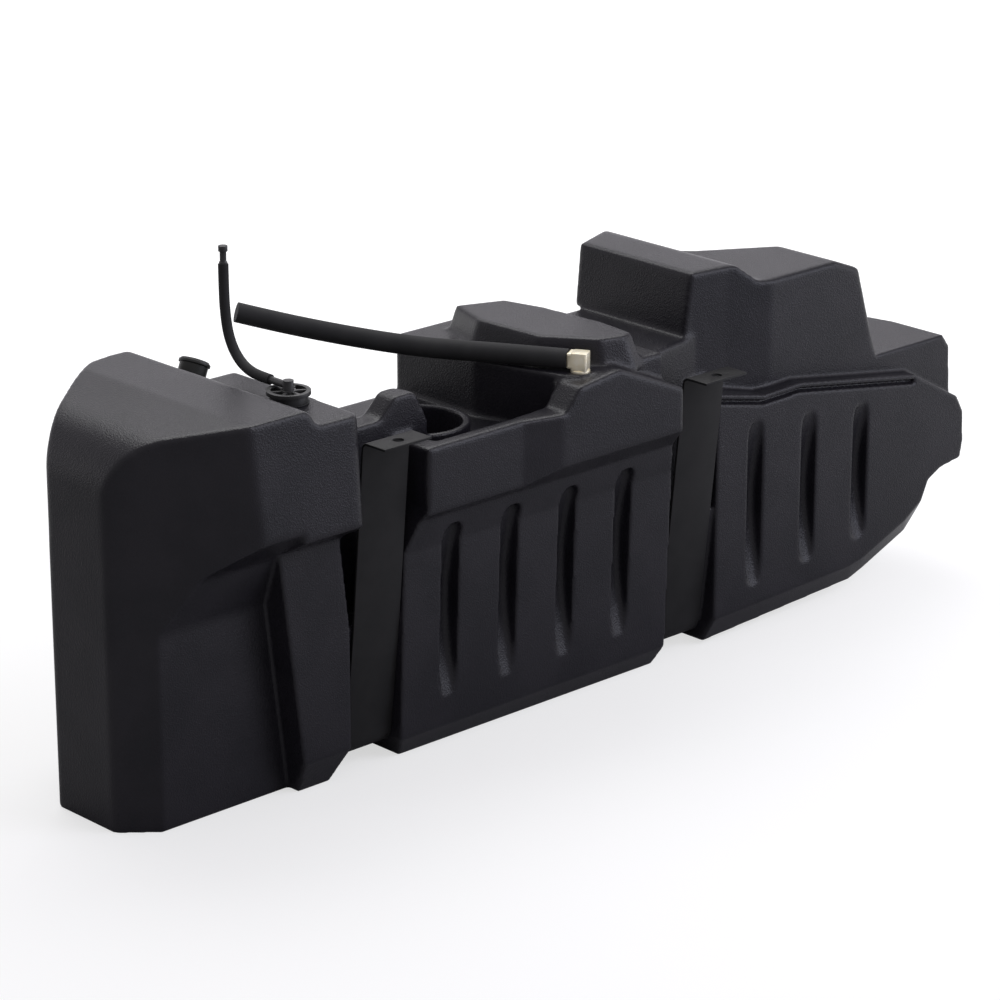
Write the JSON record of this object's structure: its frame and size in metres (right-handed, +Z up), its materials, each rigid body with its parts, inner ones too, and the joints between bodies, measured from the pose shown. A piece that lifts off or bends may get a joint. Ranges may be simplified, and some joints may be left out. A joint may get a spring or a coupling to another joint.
{
  "type": "pickup truck fuel tank",
  "caption": "Moulded plastic pickup fuel tank with ribbed side, strap grooves and steel hanging straps, roll-over vent valve, brass vent elbow and hose, and a beaded filler neck.",
  "frame": {"origin": "middle of the bounding box at the height of the tank's underside, measured without the hoses", "axes": "+Z up, X along the tank with the tall end lobe at -X, -Y toward the ribbed side that carries the strap lugs"},
  "size_m": [1.455, 0.3909, 0.651],
  "materials": {
    "tank_polyethylene": "fine pebble grain",
    "strap_steel": "smooth matte powder coat",
    "seal_rubber": "matte",
    "valve_plastic": "satin moulded",
    "brass": "bright machined",
    "filler_plastic": "satin moulded",
    "hose_rubber": "matte"
  },
  "bodies": {
    "root": {"tank_shell": "tank_polyethylene", "front_strap": "strap_steel", "rear_strap": "strap_steel", "valve_seal": "seal_rubber", "valve_body": "valve_plastic", "valve_lock_ring": "valve_plastic", "vent_insert": "brass", "vent_elbow": "brass", "filler_neck": "filler_plastic", "vent_hose": "hose_rubber", "vent_line": "hose_rubber", "quick_connect": "valve_plastic"}
  },
  "joints": []
}
